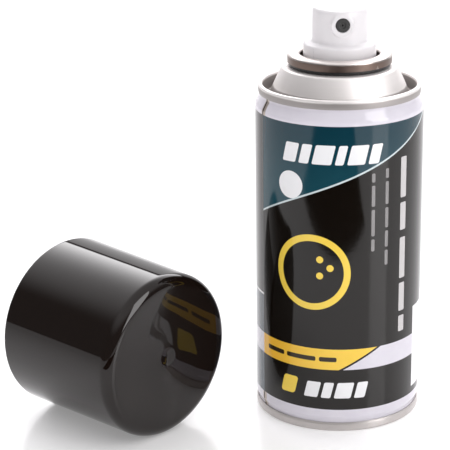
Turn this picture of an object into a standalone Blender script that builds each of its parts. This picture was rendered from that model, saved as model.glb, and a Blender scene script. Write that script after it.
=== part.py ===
"""A small aerosol can of lens cleaning spray, with its overcap lying beside it.

Metres, +Z up. The can stands on the ground with its nozzle towards -Y, and the overcap lies on its side
to the left of it. The origin is on the ground, under the middle of the whole set.
The can's own pieces are turned about the can's axis from outlines of (radius, height) points.
"""

import math

import bmesh
import bpy
from mathutils import Vector

# Can
CAN_RADIUS = 0.0261
CAN_HEIGHT = 0.1060
TOP_SEAM_RADIUS = 0.0251
BASE_SEAM_RADIUS = 0.0260
SEAM_DEPTH = 0.0028
SHEET = 0.0003
GAP = 0.0002
DOME_HEIGHT = 0.0130
DOME_RADIUS = 0.0374
COUNTERSINK_HEIGHT = 0.1013
CONE_TOP = 0.1112

# Valve
MOUTH_RADIUS = 0.0127
CUP_RADIUS = 0.0161
CUP_TOP = 0.11535
CUP_FLOOR = 0.1076
PEDESTAL_TOP = 0.1138
PEDESTAL_RADIUS = 0.0061
GASKET_THICKNESS = 0.0011
STEM_RADIUS = 0.0020
STEM_NECK_RADIUS = 0.0015
STEM_TOP = 0.1198
STEM_TRAVEL = 0.0013
RUNNING_GAP = 0.00006
HOUSING_FLOOR = 0.1005
SPRING_RADIUS = 0.0021
WIRE_RADIUS = 0.00025
SPRING_TURNS = 6
TUBE_RADIUS = 0.0022
TUBE_BORE = 0.0017
TUBE_TOP = 0.0976
TUBE_END = (0.0150, 0.0120)

# Actuator and nozzle
ACTUATOR_RADIUS = 0.0085
ACTUATOR_TOP = 0.1297
FLANGE_RADIUS = 0.0112
FLANGE_TOP = 0.1185
SKIRT_BOTTOM = 0.1142
POST_BOTTOM = 0.1159
ACTUATOR_WALL = 0.0012
SCOOP_RADIUS = 0.0250
SCOOP_DEPTH = 0.0015
SCOOP_SLOPE = math.radians(7.7)
NOZZLE_HEIGHT = 0.1251
NOZZLE_RADIUS = 0.0021
NOZZLE_LENGTH = 0.0023
NOZZLE_FACE = 0.0085
NOZZLE_TURN = math.radians(6)
BOSS_RADIUS = 0.0036
BOSS_FACE = 0.0087

# Overcap, lying on its side; its axis runs from the open rim to the closed face
CAP_RIM_RADIUS = 0.0270
CAP_END_RADIUS = 0.0261
CAP_LENGTH = 0.0460
CAP_WALL = 0.00120
CAP_EDGE_BEND = 0.0036
CAP_RIM_FROM_CAN = Vector((-0.0872, -0.0013))
CAP_HEADING = math.radians(50.7)

# Round pieces of the can and the cap, of the valve cup and of the small valve parts
CAN_SEGMENTS = 32
CUP_SEGMENTS = 32
VALVE_SEGMENTS = 16


def clear_scene():
    for item in list(bpy.data.objects):
        bpy.data.objects.remove(item, do_unlink=True)


def plain_material(name, colour, roughness, metallic=0.0):
    material = bpy.data.materials.new(name)
    material.use_nodes = True
    surface = material.node_tree.nodes["Principled BSDF"]
    surface.inputs["Base Color"].default_value = (*colour, 1.0)
    surface.inputs["Roughness"].default_value = roughness
    surface.inputs["Metallic"].default_value = metallic
    material.diffuse_color = (*colour, 1.0)
    return material


def add_piece(name, data, material, parent):
    piece = bpy.data.objects.new(name, data)
    bpy.context.scene.collection.objects.link(piece)
    piece.parent = parent
    if material is not None:
        data.materials.append(material)
    return piece


def add_empty(name, parent=None):
    empty = bpy.data.objects.new(name, None)
    bpy.context.scene.collection.objects.link(empty)
    empty.parent = parent
    return empty


def finished_mesh(name, shape, smooth=True):
    """Mesh of a bmesh whose faces are turned outwards, with edges over 35 degrees kept sharp."""
    bmesh.ops.recalc_face_normals(shape, faces=shape.faces)
    mesh = bpy.data.meshes.new(name)
    shape.to_mesh(mesh)
    shape.free()
    if smooth:
        mesh.shade_smooth()
        mesh.set_sharp_from_angle(angle=math.radians(35))
    return mesh


def arc(centre, radius, start, end, steps):
    """Points of an arc, both ends included, with its angles in degrees from the +radius direction."""
    turns = [math.radians(start + (end - start) * step / steps) for step in range(steps + 1)]
    return [(centre[0] + radius * math.cos(t), centre[1] + radius * math.sin(t)) for t in turns]


def bent(corners):
    """Path through (radius, height, bend) corners, each inner one rounded to its bend radius."""
    path = [corners[0][:2]]
    for before, corner, after in zip(corners, corners[1:], corners[2:]):
        tip = Vector(corner[:2])
        back = (Vector(before[:2]) - tip).normalized()
        ahead = (Vector(after[:2]) - tip).normalized()
        half_angle = back.angle(ahead) / 2
        setback = corner[2] / math.tan(half_angle)
        centre = tip + (back + ahead).normalized() * corner[2] / math.sin(half_angle)
        first = tip + back * setback - centre
        last = tip + ahead * setback - centre
        start = math.degrees(math.atan2(first.y, first.x))
        sweep = math.degrees(math.atan2(last.y, last.x)) - start
        sweep = (sweep + 180) % 360 - 180
        steps = 1 if corner[2] <= 0.001 else 2
        path += arc(centre, corner[2], start, start + sweep, steps)
    path.append(corners[-1][:2])
    return path


def sheet_outline(path, thickness=SHEET):
    """Closed outline of a metal sheet whose middle follows the path."""
    sides = ([], [])
    for index, point in enumerate(path):
        here = Vector(point)
        steps = [Vector(path[i + 1]) - Vector(path[i]) for i in (index - 1, index) if 0 <= i < len(path) - 1]
        normals = [Vector((-step.y, step.x)).normalized() for step in steps]
        mitre = sum(normals, Vector((0, 0))).normalized()
        mitre *= thickness / 2 / mitre.dot(normals[0])
        for side, offset in zip(sides, (mitre, -mitre)):
            moved = here + offset
            side.append((moved.x if here.x > 0 else 0.0, moved.y))
    return sides[0] + sides[1][::-1]


def turned_mesh(name, outline, segments):
    """Solid of revolution about +Z from a closed outline of (radius, height) points."""
    shape = bmesh.new()
    turns = [math.tau * i / segments for i in range(segments)]
    rings = []
    for radius, height in outline:
        if radius == 0:
            ring = [shape.verts.new((0, 0, height))] * segments
        else:
            ring = [shape.verts.new((radius * math.cos(t), radius * math.sin(t), height)) for t in turns]
        rings.append(ring)
    for ring, following in zip(rings, rings[1:] + rings[:1]):
        for i in range(segments):
            following_i = (i + 1) % segments
            corners = (ring[i], ring[following_i], following[following_i], following[i])
            corners = list(dict.fromkeys(corners))
            if len(corners) > 2:
                shape.faces.new(corners)
    return finished_mesh(name, shape)


def turned(name, outline, segments, material, parent):
    return add_piece(name, turned_mesh(name, outline, segments), material, parent)


def tube_mesh(name, route, outer, inner, segments):
    """Hollow tube along a route in the XZ plane, open at both ends."""
    shape = bmesh.new()
    across = Vector((0, 1, 0))
    rings = []
    for radius in (outer, inner):
        for index, point in enumerate(route):
            ahead = route[min(index + 1, len(route) - 1)]
            behind = route[max(index - 1, 0)]
            side = across.cross(ahead - behind).normalized()
            turns = [math.tau * i / segments for i in range(segments)]
            ring = [shape.verts.new(point + radius * (side * math.cos(t) + across * math.sin(t))) for t in turns]
            rings.append(ring)
    order = rings[: len(route)] + rings[len(route) :][::-1]
    for ring, following in zip(order, order[1:] + order[:1]):
        for i in range(segments):
            following_i = (i + 1) % segments
            shape.faces.new((ring[i], ring[following_i], following[following_i], following[i]))
    return finished_mesh(name, shape)


def cutter(name, outline, segments, parent):
    """Hidden turned solid for a Boolean."""
    tool = turned(name, outline, segments, None, parent)
    tool.hide_render = True
    tool.display_type = "WIRE"
    return tool


def combine(piece, other, operation):
    modifier = piece.modifiers.new(f"{operation.lower()} {other.name}", "BOOLEAN")
    modifier.operation = operation
    modifier.solver = "EXACT"
    modifier.object = other


def block(radius, bottom, top):
    """Outline of a plain cylinder."""
    return [(0.0, bottom), (radius, bottom), (radius, top), (0.0, top)]


def ring_outline(inner, outer, bottom, top):
    return [(inner, bottom), (outer, bottom), (outer, top), (inner, top)]


def seam_radii(outside):
    """Middle radii of the three layers of a double seam: the end's curl, the can's wall, the end's inner wall."""
    curl = outside - SHEET / 2
    wall = curl - SHEET - GAP
    return curl, wall, wall - SHEET - GAP


def build_can_body(parent):
    wall = CAN_RADIUS - SHEET / 2
    base_wall = seam_radii(BASE_SEAM_RADIUS)[1]
    top_wall = seam_radii(TOP_SEAM_RADIUS)[1]
    path = bent(
        [
            (base_wall, 0.0010),
            (base_wall, SEAM_DEPTH + 0.0006, 0.0010),
            (wall, SEAM_DEPTH + 0.0020, 0.0010),
            (wall, CAN_HEIGHT - 0.0064, 0.0025),
            (top_wall, CAN_HEIGHT - 0.0037, 0.0015),
            (top_wall, CAN_HEIGHT - 0.0011),
        ]
    )
    material = plain_material("printed_tinplate", (0.016, 0.016, 0.018), 0.32)
    turned("can_body", sheet_outline(path), CAN_SEGMENTS, material, parent)


def build_top_cone(parent, material):
    curl, _, inner = seam_radii(TOP_SEAM_RADIUS)
    top = CAN_HEIGHT - SHEET / 2
    neck = MOUTH_RADIUS + SHEET / 2
    path = bent(
        [
            (curl, CAN_HEIGHT - SEAM_DEPTH),
            (curl, top, 0.00035),
            (inner, top, 0.00035),
            (inner - 0.0003, COUNTERSINK_HEIGHT, 0.0006),
            (inner - 0.0019, COUNTERSINK_HEIGHT, 0.0007),
            (0.0176, CONE_TOP - SHEET / 2, 0.0020),
            (neck, CONE_TOP - SHEET / 2, 0.0003),
            (neck, 0.11425, 0.0008),
            (neck + 0.0019, 0.11425, 0.0008),
            (neck + 0.0019, 0.1123),
        ]
    )
    turned("top_cone", sheet_outline(path), CAN_SEGMENTS, material, parent)


def dome_height(radius):
    return DOME_HEIGHT - DOME_RADIUS + math.sqrt(DOME_RADIUS**2 - radius**2)


def build_bottom_dome(parent, material):
    curl, _, inner = seam_radii(BASE_SEAM_RADIUS)
    foot = SHEET / 2
    rim = 0.0225
    path = bent(
        [
            (curl, SEAM_DEPTH),
            (curl, foot, 0.00025),
            (inner, foot, 0.00025),
            (inner - 0.0001, 0.0042, 0.0007),
            (rim, dome_height(rim)),
        ]
    )
    path += [(radius, dome_height(radius)) for radius in (rim * 0.75, rim * 0.5, rim * 0.25, 0.0)]
    turned("bottom_dome", sheet_outline(path), CAN_SEGMENTS, material, parent)


def build_seam_compounds(parent):
    """Sealing rings between the ends of the can's wall and the folded seams over them."""
    material = plain_material("sealing_compound", (0.05, 0.05, 0.05), 0.8)
    half_width = SHEET / 2
    top_wall = seam_radii(TOP_SEAM_RADIUS)[1]
    base_wall = seam_radii(BASE_SEAM_RADIUS)[1]
    top_ring = ring_outline(
        top_wall - half_width, top_wall + half_width, CAN_HEIGHT - 0.0009, CAN_HEIGHT - 0.00055
    )
    base_ring = ring_outline(base_wall - half_width, base_wall + half_width, 0.00050, 0.00080)
    turned("top_seam_compound", top_ring, CAN_SEGMENTS, material, parent)
    turned("bottom_seam_compound", base_ring, CAN_SEGMENTS, material, parent)


def build_valve_cup(parent):
    edge = CUP_RADIUS - SHEET / 2
    top = CUP_TOP - SHEET / 2
    wall = MOUTH_RADIUS - GAP - SHEET / 2
    pedestal = PEDESTAL_RADIUS - SHEET / 2
    path = bent(
        [
            (edge, 0.11245),
            (edge, top, 0.0009),
            (wall, top, 0.0008),
            (wall, 0.1110, 0.0006),
            (wall + 0.0007, 0.1097, 0.0004),
            (wall - 0.0006, CUP_FLOOR, 0.0009),
            (pedestal + 0.0010, CUP_FLOOR, 0.0006),
            (pedestal - 0.0008, 0.1093, 0.0003),
            (pedestal, 0.1104, 0.0003),
            (pedestal, PEDESTAL_TOP - SHEET / 2, 0.0008),
            (STEM_RADIUS + 0.0006, PEDESTAL_TOP - SHEET / 2),
        ]
    )
    material = plain_material("cup_metal", (0.72, 0.69, 0.66), 0.28, 1.0)
    turned("valve_cup", sheet_outline(path), CUP_SEGMENTS, material, parent)


def build_cup_gasket(parent, material):
    """Black sleeve between the rolled mouth and the cup's curl; its tapered hem shows below the curl."""
    outside = CUP_RADIUS - SHEET - GAP
    inside = MOUTH_RADIUS + 0.0024
    top = CUP_TOP - SHEET - GAP
    underside = top - 0.0003
    outline = [
        (inside - 0.0007, CONE_TOP + 0.0007),
        (inside - 0.0007, CONE_TOP + 0.00025),
        (inside - 0.0003, CONE_TOP + 0.00025),
        (outside, CONE_TOP + 0.0011),
        (outside, top - 0.0007),
        (outside - 0.0007, top),
        (0.0134, top),
        (0.0134, underside),
        (inside - 0.0003, underside),
        (inside, underside - 0.0003),
        (inside, CONE_TOP + 0.0008),
    ]
    turned("cup_gasket", outline, CUP_SEGMENTS, material, parent)


def gasket_heights():
    """Underside and top of the stem gasket, below the pedestal's roof."""
    top = PEDESTAL_TOP - SHEET - GAP
    return top - GASKET_THICKNESS, top


def build_stem_gasket(parent, material):
    underside, top = gasket_heights()
    outline = ring_outline(STEM_NECK_RADIUS + RUNNING_GAP, PEDESTAL_RADIUS - 0.0008, underside, top)
    turned("stem_gasket", outline, VALVE_SEGMENTS, material, parent)


def build_valve_housing(parent, material):
    top = gasket_heights()[0] - GAP
    flange = PEDESTAL_RADIUS - 0.0007
    body = 0.0040
    bore = 0.0033
    tail = TUBE_BORE - 0.00025
    tail_bore = 0.0008
    shoulder = TUBE_TOP + 0.0004
    outline = [
        (bore, top),
        (flange, top),
        (flange, top - 0.0018),
        (body, top - 0.0021),
        (body, HOUSING_FLOOR - 0.0010),
        (body - 0.0008, shoulder),
        (tail, shoulder),
        (tail, shoulder - 0.0070),
        (tail_bore, shoulder - 0.0070),
        (tail_bore, HOUSING_FLOOR),
        (bore, HOUSING_FLOOR),
    ]
    turned("valve_housing", outline, VALVE_SEGMENTS, material, parent)


def stem_heights():
    """Foot, underside of the head, top of the head and top of the thin neck."""
    underside, top = gasket_heights()
    head_top = underside - GAP
    return head_top - 0.0044, head_top - 0.0024, head_top, top + STEM_TRAVEL + GAP


def build_valve_stem(parent, material):
    """The thin neck is long enough for the gasket to stay in it through the whole stroke."""
    foot, head_underside, head_top, neck_top = stem_heights()
    bore = 0.0009
    bore_bottom = head_top + 0.0004
    head = 0.0027
    post = 0.0011
    outline = [
        (bore, STEM_TOP),
        (STEM_RADIUS, STEM_TOP),
        (STEM_RADIUS, neck_top + 0.0002),
        (STEM_NECK_RADIUS, neck_top),
        (STEM_NECK_RADIUS, head_top),
        (head, head_top),
        (head, head_underside),
        (post, head_underside),
        (post, foot),
        (0.0, foot),
        (0.0, bore_bottom),
        (bore, bore_bottom),
    ]
    stem = turned("valve_stem", outline, VALVE_SEGMENTS, material, parent)
    orifice = cutter("orifice_cutter", block(0.00025, 0.0, 0.0025), 12, stem)
    orifice.location.z = bore_bottom + 0.00035
    orifice.rotation_euler.x = math.pi / 2
    combine(stem, orifice, "DIFFERENCE")
    return stem


def build_valve_spring(parent, material):
    """Round wire wound between the housing's floor and the underside of the stem's head."""
    bottom = HOUSING_FLOOR + 0.0003 + WIRE_RADIUS
    top = stem_heights()[1] - 0.0003 - WIRE_RADIUS
    steps_per_turn = 12
    steps = SPRING_TURNS * steps_per_turn
    data = bpy.data.curves.new("valve_spring", "CURVE")
    data.dimensions = "3D"
    data.bevel_depth = WIRE_RADIUS
    data.bevel_resolution = 1
    data.use_fill_caps = True
    wire = data.splines.new("POLY")
    wire.points.add(steps)
    for step, point in enumerate(wire.points):
        turn = math.tau * step / steps_per_turn
        height = bottom + (top - bottom) * step / steps
        point.co = (SPRING_RADIUS * math.cos(turn), SPRING_RADIUS * math.sin(turn), height, 1.0)
    add_piece("valve_spring", data, material, parent)


def build_dip_tube(parent, material):
    """Plastic tube that bends out to the low edge of the bottom."""
    reach, end = TUBE_END
    stations = 12
    route = []
    for station in range(stations + 1):
        drop = station / stations
        route.append(Vector((reach * drop**3, 0.0, TUBE_TOP + (end - TUBE_TOP) * drop)))
    mesh = tube_mesh("dip_tube", route, TUBE_RADIUS, TUBE_BORE, 12)
    tube = add_piece("dip_tube", mesh, material, parent)
    tube.rotation_euler.z = NOZZLE_TURN - math.pi / 2


def build_actuator(stem, material):
    """Push button, hollow from below round the socket that takes the stem."""
    socket = STEM_RADIUS + RUNNING_GAP
    post = 0.0034
    cavity = ACTUATOR_RADIUS - ACTUATOR_WALL
    cavity_top = 0.1215
    flange_underside = FLANGE_TOP - 0.0014
    channel = 0.0010
    channel_top = NOZZLE_HEIGHT + 0.0006
    outline = [
        (0.0, channel_top),
        (channel, channel_top),
        (channel, STEM_TOP + GAP),
        (socket, STEM_TOP + GAP),
        (socket, POST_BOTTOM),
        (post, POST_BOTTOM),
        (post, cavity_top),
        (cavity, cavity_top),
        (cavity, flange_underside),
        (FLANGE_RADIUS - ACTUATOR_WALL, flange_underside),
        (FLANGE_RADIUS - ACTUATOR_WALL, SKIRT_BOTTOM),
        (FLANGE_RADIUS, SKIRT_BOTTOM),
        (FLANGE_RADIUS, FLANGE_TOP - 0.0004),
        (FLANGE_RADIUS - 0.0004, FLANGE_TOP),
        (ACTUATOR_RADIUS + 0.0004, FLANGE_TOP + 0.0002),
        (ACTUATOR_RADIUS, FLANGE_TOP + 0.0006),
        (ACTUATOR_RADIUS, ACTUATOR_TOP - 0.0003),
        (ACTUATOR_RADIUS - 0.0003, ACTUATOR_TOP),
        (0.0, ACTUATOR_TOP),
    ]
    actuator = turned("actuator", outline, CUP_SEGMENTS, material, stem)
    actuator.rotation_euler.z = NOZZLE_TURN

    boss = cutter("boss", block(BOSS_RADIUS, 0.0050, BOSS_FACE), VALVE_SEGMENTS, actuator)
    pocket_depth = NOZZLE_FACE - NOZZLE_LENGTH - GAP
    pocket_radius = NOZZLE_RADIUS + GAP
    cross_channel = 0.0006
    nozzle_bore = [
        (0.0, 0.0),
        (cross_channel, 0.0),
        (cross_channel, pocket_depth),
        (pocket_radius, pocket_depth),
        (pocket_radius, 0.0120),
        (0.0, 0.0120),
    ]
    pocket = cutter("pocket_cutter", nozzle_bore, VALVE_SEGMENTS, actuator)
    for tool in (boss, pocket):
        tool.location.z = NOZZLE_HEIGHT
        tool.rotation_euler.x = math.pi / 2
    scoop = cutter("scoop_cutter", block(SCOOP_RADIUS, -0.0200, 0.0200), 2 * CUP_SEGMENTS, actuator)
    scoop.location.z = ACTUATOR_TOP - SCOOP_DEPTH + SCOOP_RADIUS / math.cos(SCOOP_SLOPE)
    scoop.rotation_euler.x = math.pi / 2 - SCOOP_SLOPE
    combine(actuator, boss, "UNION")
    combine(actuator, scoop, "DIFFERENCE")
    combine(actuator, pocket, "DIFFERENCE")
    return actuator


def build_nozzle_insert(actuator, material):
    """Disc with a fine spray hole, pressed into the pocket at the front of the actuator."""
    hole = 0.00025
    outline = [
        (hole, 0.0),
        (NOZZLE_RADIUS, 0.0),
        (NOZZLE_RADIUS, NOZZLE_LENGTH - 0.0002),
        (NOZZLE_RADIUS - 0.0002, NOZZLE_LENGTH),
        (0.0008, NOZZLE_LENGTH),
        (hole, NOZZLE_LENGTH - 0.0003),
    ]
    insert = turned("nozzle_insert", outline, VALVE_SEGMENTS, material, actuator)
    insert.location = (0.0, NOZZLE_LENGTH - NOZZLE_FACE, NOZZLE_HEIGHT)
    insert.rotation_euler.x = math.pi / 2


def build_overcap(parent, material):
    """Cap with a slight draft, a bead inside its rim that snaps under the top seam, and a gate mark."""
    edge = CAP_END_RADIUS - CAP_EDGE_BEND
    side_end = CAP_LENGTH - CAP_EDGE_BEND
    dish = CAP_LENGTH - 0.0007
    rim_bore = CAP_RIM_RADIUS - CAP_WALL
    end_bore = CAP_END_RADIUS - CAP_WALL
    roof = dish - CAP_WALL
    outline = [(rim_bore, 0.0), (CAP_RIM_RADIUS, 0.0)]
    outline += arc((edge, side_end), CAP_EDGE_BEND, 0, 90, 4)
    outline += [
        (edge - 0.0015, dish),
        (0.0036, dish),
        (0.0032, dish - 0.0004),
        (0.0008, dish - 0.0004),
        (0.0006, dish),
        (0.0, dish),
        (0.0, roof),
        (edge - 0.0010, roof),
        (end_bore, side_end - 0.0006),
        (rim_bore, 0.0034),
        (rim_bore - 0.0009, 0.0026),
        (rim_bore - 0.0009, 0.0020),
        (rim_bore, 0.0012),
    ]
    cap = turned("overcap", outline, CAN_SEGMENTS, material, parent)
    draft = math.atan2(CAP_RIM_RADIUS - CAP_END_RADIUS, side_end)
    cap.location = (*CAP_RIM_FROM_CAN, CAP_RIM_RADIUS * math.cos(draft))
    cap.rotation_euler = (math.pi / 2 + draft, 0.0, CAP_HEADING)


def centre_set(root):
    """Moves the root so that the origin is under the middle of the box round all the pieces."""
    bpy.context.view_layer.update()
    meshes = [item for item in bpy.data.objects if item.type == "MESH" and not item.hide_render]
    points = [item.matrix_world @ vertex.co for item in meshes for vertex in item.data.vertices]
    for axis in (0, 1):
        places = [point[axis] for point in points]
        root.location[axis] = -(min(places) + max(places)) / 2


def main():
    clear_scene()
    tinplate = plain_material("tinplate", (0.78, 0.76, 0.74), 0.26, 1.0)
    rubber = plain_material("black_rubber", (0.02, 0.02, 0.02), 0.7)
    natural_plastic = plain_material("natural_plastic", (0.80, 0.80, 0.76), 0.4)
    spring_steel = plain_material("spring_steel", (0.6, 0.6, 0.6), 0.25, 1.0)
    white_plastic = plain_material("white_plastic", (0.85, 0.85, 0.86), 0.35)
    black_insert = plain_material("black_insert", (0.02, 0.02, 0.02), 0.5)
    black_plastic = plain_material("black_plastic", (0.008, 0.006, 0.006), 0.08)

    root = add_empty("spray_set")
    build_can_body(root)
    build_top_cone(root, tinplate)
    build_bottom_dome(root, tinplate)
    build_seam_compounds(root)
    build_valve_cup(root)
    build_cup_gasket(root, rubber)
    build_stem_gasket(root, rubber)
    build_valve_housing(root, natural_plastic)
    build_valve_spring(root, spring_steel)
    build_dip_tube(root, natural_plastic)
    stem = build_valve_stem(root, natural_plastic)
    actuator = build_actuator(stem, white_plastic)
    build_nozzle_insert(actuator, black_insert)
    build_overcap(root, black_plastic)
    centre_set(root)


main()
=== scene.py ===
"""Looks for the small aerosol can of lens cleaning spray and the overcap lying beside it.

Metres, +Z up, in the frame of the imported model. The can's own pieces are turned about the can's axis from
outlines of (radius, height) points, with finer bends than the CAD solids that they stand for. Lengths in the
label's material are millimetres: u runs round the wall from the front, and v runs up from the ground.
"""

import math

import bmesh
import bpy
from mathutils import Matrix, Vector

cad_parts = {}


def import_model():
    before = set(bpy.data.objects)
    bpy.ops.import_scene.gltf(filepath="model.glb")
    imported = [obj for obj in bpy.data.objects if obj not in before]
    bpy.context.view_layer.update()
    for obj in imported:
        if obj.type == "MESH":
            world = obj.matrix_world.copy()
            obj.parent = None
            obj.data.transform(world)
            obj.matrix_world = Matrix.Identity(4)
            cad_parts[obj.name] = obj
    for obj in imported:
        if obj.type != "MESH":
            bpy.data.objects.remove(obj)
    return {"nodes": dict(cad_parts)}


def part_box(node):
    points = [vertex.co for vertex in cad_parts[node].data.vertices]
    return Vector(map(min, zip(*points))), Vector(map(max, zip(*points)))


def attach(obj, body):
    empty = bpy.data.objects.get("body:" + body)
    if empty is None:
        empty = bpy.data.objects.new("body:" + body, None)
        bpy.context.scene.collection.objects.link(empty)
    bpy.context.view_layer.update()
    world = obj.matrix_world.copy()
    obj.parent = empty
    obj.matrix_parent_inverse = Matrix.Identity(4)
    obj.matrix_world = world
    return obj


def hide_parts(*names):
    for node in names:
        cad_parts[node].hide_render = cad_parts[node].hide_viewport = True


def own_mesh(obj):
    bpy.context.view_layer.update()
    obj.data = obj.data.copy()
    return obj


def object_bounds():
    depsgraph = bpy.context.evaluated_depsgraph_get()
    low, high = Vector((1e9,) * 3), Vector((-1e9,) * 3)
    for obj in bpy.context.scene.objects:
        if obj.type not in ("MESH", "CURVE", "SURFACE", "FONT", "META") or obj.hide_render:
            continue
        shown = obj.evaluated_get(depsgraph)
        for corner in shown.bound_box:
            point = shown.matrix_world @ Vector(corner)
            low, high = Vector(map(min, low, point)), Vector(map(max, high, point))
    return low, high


# Can
CAN_RADIUS = 0.0261
CAN_HEIGHT = 0.1060
TOP_SEAM_RADIUS = 0.0251
BASE_SEAM_RADIUS = 0.0260
SEAM_DEPTH = 0.0028
SHEET = 0.0003
GAP = 0.0002
DOME_HEIGHT = 0.0130
DOME_RADIUS = 0.0374
COUNTERSINK_HEIGHT = 0.1013
CONE_RADIUS = 0.0176
CONE_TOP = 0.1112

# Valve cup
MOUTH_RADIUS = 0.0127
MOUTH_TOP = 0.11425
CUP_RADIUS = 0.0161
CUP_TOP = 0.11535
CUP_FLOOR = 0.1076
PEDESTAL_TOP = 0.1138
PEDESTAL_RADIUS = 0.0061
STEM_RADIUS = 0.0020
STEM_TOP = 0.1198
SPRING_RADIUS = 0.0021
WIRE_RADIUS = 0.00025
SPRING_TURNS = 6

# Actuator and nozzle
ACTUATOR_RADIUS = 0.0085
ACTUATOR_TOP = 0.1297
FLANGE_RADIUS = 0.0112
FLANGE_TOP = 0.1185
SKIRT_BOTTOM = 0.1142
POST_BOTTOM = 0.1159
ACTUATOR_WALL = 0.0012
SCOOP_RADIUS = 0.0250
SCOOP_DEPTH = 0.0015
SCOOP_SLOPE = math.radians(7.7)
NOZZLE_HEIGHT = 0.1251
NOZZLE_RADIUS = 0.0021
NOZZLE_LENGTH = 0.0023
NOZZLE_FACE = 0.0085
NOZZLE_TURN = math.radians(6)
BOSS_RADIUS = 0.0036
BOSS_FACE = 0.0087
BOSS_BACK = 0.0050
ACTUATOR_VOXEL = 0.00014
ACTUATOR_SOFT_ABOVE = 0.1256
ACTUATOR_SOFT_ROUNDS = 70

# Overcap
CAP_RIM_RADIUS = 0.0270
CAP_END_RADIUS = 0.0261
CAP_LENGTH = 0.0460
CAP_WALL = 0.00120
CAP_EDGE_BEND = 0.0036
CAP_DISH_RADIUS = 0.0060
CAP_DISH_DEPTH = 0.0005
CAP_DIMPLE_RADIUS = 0.0033
CAP_DIMPLE_DEPTH = 0.0004
CAP_RIM_FROM_CAN = Vector((-0.0872, -0.0013))
CAP_HEADING = math.radians(50.7)

SEGMENTS = 192
MM = 1000.0

# Label, in millimetres on the wall
SOFT_EDGE = 0.05
FILLED = 200.0
DEGREE = CAN_RADIUS * MM * math.pi / 180
LABEL_LEFT = -62.3 * DEGREE
LABEL_RIGHT = 63.8 * DEGREE
FIELD_RIGHT = 80.0 * DEGREE
PRINT_LEFT = -82.0
PRINT_RIGHT = 80.0
TOP_BAND = 98.4
BOTTOM_BAND = 7.3
ABOVE_ALL = 200.0
BELOW_ALL = -10.0
TWO_TONE_BAND = (20.7, 27.5)
BAND_CUT = 0.5
BAND_CUT_SLOPE = 1.80
BAND_CUT_GAP = 1.3
SWEEP_SPAN = 30.0
SWEEP_CURVE = (80.9, 12.3, 0.2, 1.5)
SWEEP_LINE = 0.3
LEFT_PANEL_TOP = 40.2
RIGHT_PANEL = (9.4, 36.6)
ROW_HALVES = (10.5, 9.0, 10.0, 6.0, 10.5, 9.6, 8.0, 10.2, 5.0)
ROW_PITCH = 4.6
ROW_TOP = 90.0

# Studio light: levels are radiance, and the sky's limits are parts of its direction
WALL_LEVEL = 0.14
CEILING_LEVEL = 0.85
CEILING_EDGE = (0.40, 0.80)
CEILING_LEAN = 0.12
SWEEP_LEVEL = 0.9
SWEEP_TOP = (0.365, 0.385)
SWEEP_SIDES = (0.55, 0.85)
BACK_BOX_LEVEL = 5.6
BACK_BOX_SIDES = (0.0, 0.9)
BACK_BOX_FOOT = (0.41, 0.44)
BACK_BOX_FADE = (0.45, 0.95)
SKY_COLOUR = (1.0, 0.985, 1.0, 1.0)
TABLE_GLOW = 0.20
FLOOR_SIZE = 12.0
SIDE_BOX = (0.46, 0.90)
SIDE_BOX_PLACE = Vector((0.82, -0.50, 0.52))
SIDE_BOX_LEVEL = 6.0
SIDE_BOX_WATTS = 3.3
FRONT_FILL = (0.60, 0.40)
FRONT_FILL_PLACE = Vector((-0.30, -0.95, 0.40))
FRONT_FILL_WATTS = 1.9
LIGHTS_AIM = Vector((0.0, 0.0, 0.05))
DARK_ROOM = (0.34, 2.0)
DARK_ROOM_EDGE = 0.175
DARK_ROOM_HEIGHT = 0.0006

# Camera, from the middle of the can's base
CAMERA_FROM_CAN = Vector((0.0, -0.52716, 0.23367))
CAMERA_PITCH = 0.3192
CAMERA_PAN = -0.0680
CAMERA_ROLL = -0.0135
LENS_MM = 140.19


# ---------------------------------------------------------------- shapes


def arc(centre, radius, start, end, steps):
    """Points of an arc, both ends included, with its angles in degrees from the +radius direction."""
    turns = [math.radians(start + (end - start) * step / steps) for step in range(steps + 1)]
    return [(centre[0] + radius * math.cos(t), centre[1] + radius * math.sin(t)) for t in turns]


def bent(corners, steps=8):
    """Path through (radius, height, bend) corners, each inner one rounded to its bend radius."""
    path = [corners[0][:2]]
    for before, corner, after in zip(corners, corners[1:], corners[2:]):
        tip = Vector(corner[:2])
        back = (Vector(before[:2]) - tip).normalized()
        ahead = (Vector(after[:2]) - tip).normalized()
        half_angle = back.angle(ahead) / 2
        setback = corner[2] / math.tan(half_angle)
        centre = tip + (back + ahead).normalized() * corner[2] / math.sin(half_angle)
        first = tip + back * setback - centre
        last = tip + ahead * setback - centre
        start = math.degrees(math.atan2(first.y, first.x))
        sweep = math.degrees(math.atan2(last.y, last.x)) - start
        sweep = (sweep + 180) % 360 - 180
        path += arc(centre, corner[2], start, start + sweep, steps)
    path.append(corners[-1][:2])
    return path


def closed_bent(corners, steps=5):
    """Closed outline whose corners are all rounded; a corner with no bend stays sharp."""
    path = []
    count = len(corners)
    for index, corner in enumerate(corners):
        if len(corner) < 3 or corner[2] == 0:
            path.append(corner[:2])
            continue
        trio = [corners[index - 1], corner, corners[(index + 1) % count]]
        path += bent(trio, steps)[1:-1]
    return path


def sheet_outline(path, thickness=SHEET):
    """Closed outline of a metal sheet whose middle follows the path."""
    sides = ([], [])
    for index, point in enumerate(path):
        here = Vector(point)
        steps = [Vector(path[i + 1]) - Vector(path[i]) for i in (index - 1, index) if 0 <= i < len(path) - 1]
        normals = [Vector((-step.y, step.x)).normalized() for step in steps if step.length > 1e-9]
        mitre = sum(normals, Vector((0, 0))).normalized()
        mitre *= thickness / 2 / mitre.dot(normals[0])
        for side, offset in zip(sides, (mitre, -mitre)):
            moved = here + offset
            side.append((moved.x if here.x > 0 else 0.0, moved.y))
    return sides[0] + sides[1][::-1]


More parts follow.
